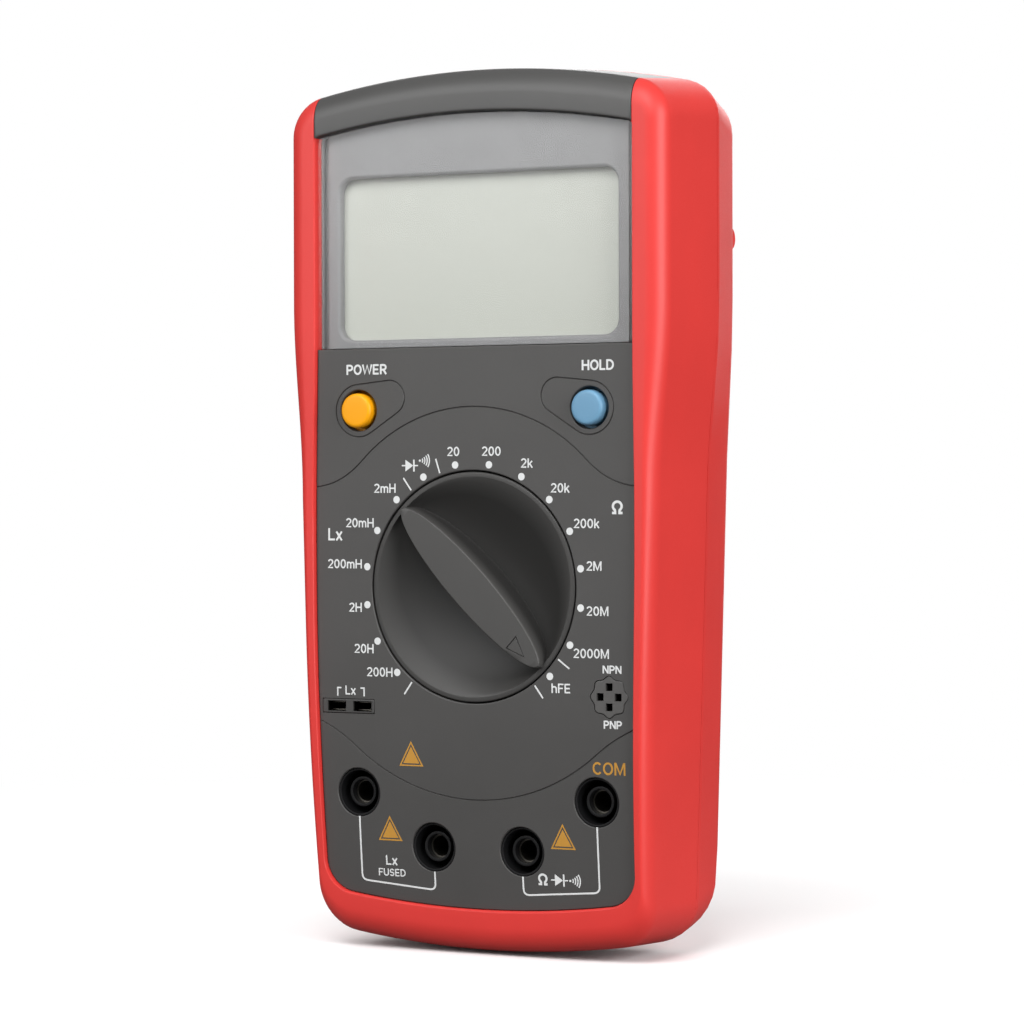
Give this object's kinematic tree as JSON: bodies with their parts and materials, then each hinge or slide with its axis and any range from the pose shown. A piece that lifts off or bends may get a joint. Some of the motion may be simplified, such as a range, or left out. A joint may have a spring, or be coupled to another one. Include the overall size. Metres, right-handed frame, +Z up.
{
  "type": "component tester",
  "caption": "Handheld component tester: red case, dark face with a display window, finned rotary selector, push buttons, test-lead sockets, transistor socket, lead slots and fold-out stand.",
  "frame": {"origin": "under the middle of the case: its lowest point, halfway across its width and depth", "axes": "+Z up the case, the printed face looks towards -Y, +X to the right as the face is read"},
  "size_m": [0.0832, 0.038, 0.172],
  "materials": {
    "red_case": "fine satin grain",
    "dark_panel": "fine matte grain",
    "band_grey": "fine matte grain",
    "knob_dark": "satin",
    "black_plastic": "satin",
    "amber_button": "semi-gloss",
    "blue_button": "semi-gloss",
    "clear_window": "clear, polished",
    "mask_grey": "printed matte",
    "lcd": "polished",
    "white_plastic": "satin",
    "contact_rubber": "matte",
    "pad_rubber": "matte",
    "brass": "bright",
    "steel": "plated",
    "board_green": "solder mask",
    "capacitor_sleeve": "gloss",
    "trimmer_blue": "gloss",
    "fuse_glass": "clear tube with plated caps",
    "battery_jacket": "plain printed jacket",
    "lead_red": "insulated wire"
  },
  "bodies": {
    "case": {"front_shell": "red_case", "front_panel": "dark_panel", "top_band": "band_grey", "rear_cover": "red_case", "rear_feet": "pad_rubber", "case_screws": "steel", "display_lens": "clear_window", "display_mask": "mask_grey", "lcd_glass": "lcd", "lcd_frame": "white_plastic", "zebra_strips": "contact_rubber", "detent_ring": "white_plastic", "power_switch": "black_plastic", "hold_switch": "black_plastic", "jack_tubes": "black_plastic", "jack_contacts": "brass", "transistor_socket": "dark_panel", "socket_contacts": "brass", "slot_insert": "black_plastic", "slot_contacts": "brass", "circuit_board": "board_green", "board_screws": "steel", "board_chips": "black_plastic", "board_capacitors": "capacitor_sleeve", "crystal": "steel", "trimmer": "trimmer_blue", "fuse": "fuse_glass", "fuse_clips": "steel", "buzzer": "black_plastic", "shield_plate": "steel", "battery": "battery_jacket", "battery_snap": "black_plastic", "battery_leads": "lead_red"},
    "knob": {"selector_knob": "knob_dark", "knob_rotor": "white_plastic", "knob_wipers": "brass", "detent_balls": "steel", "detent_springs": "steel"},
    "power": {"power_button": "amber_button", "power_plunger": "white_plastic"},
    "hold": {"hold_button": "blue_button", "hold_plunger": "white_plastic"},
    "stand": {"tilt_stand": "red_case"},
    "door": {"battery_door": "red_case", "battery_door_screw": "steel"}
  },
  "joints": [
    {"name": "knob_turn", "type": "hinge", "parent": "case", "child": "knob", "pos_m": [0, -0.015, 0.071], "axis": [0, -1, 0], "range_deg": [0, 270]},
    {"name": "power_press", "type": "slide", "parent": "case", "child": "power", "axis": [0, 1, 0], "range_m": [0, 0.0015]},
    {"name": "hold_press", "type": "slide", "parent": "case", "child": "hold", "axis": [0, 1, 0], "range_m": [0, 0.001]},
    {"name": "stand_swing", "type": "hinge", "parent": "case", "child": "stand", "pos_m": [0, 0.0168, 0.1385], "axis": [1, 0, 0], "range_deg": [0, 70]},
    {"name": "door_lift", "type": "slide", "parent": "case", "child": "door", "axis": [0, 1, 0], "range_m": [0, 0.02]}
  ]
}
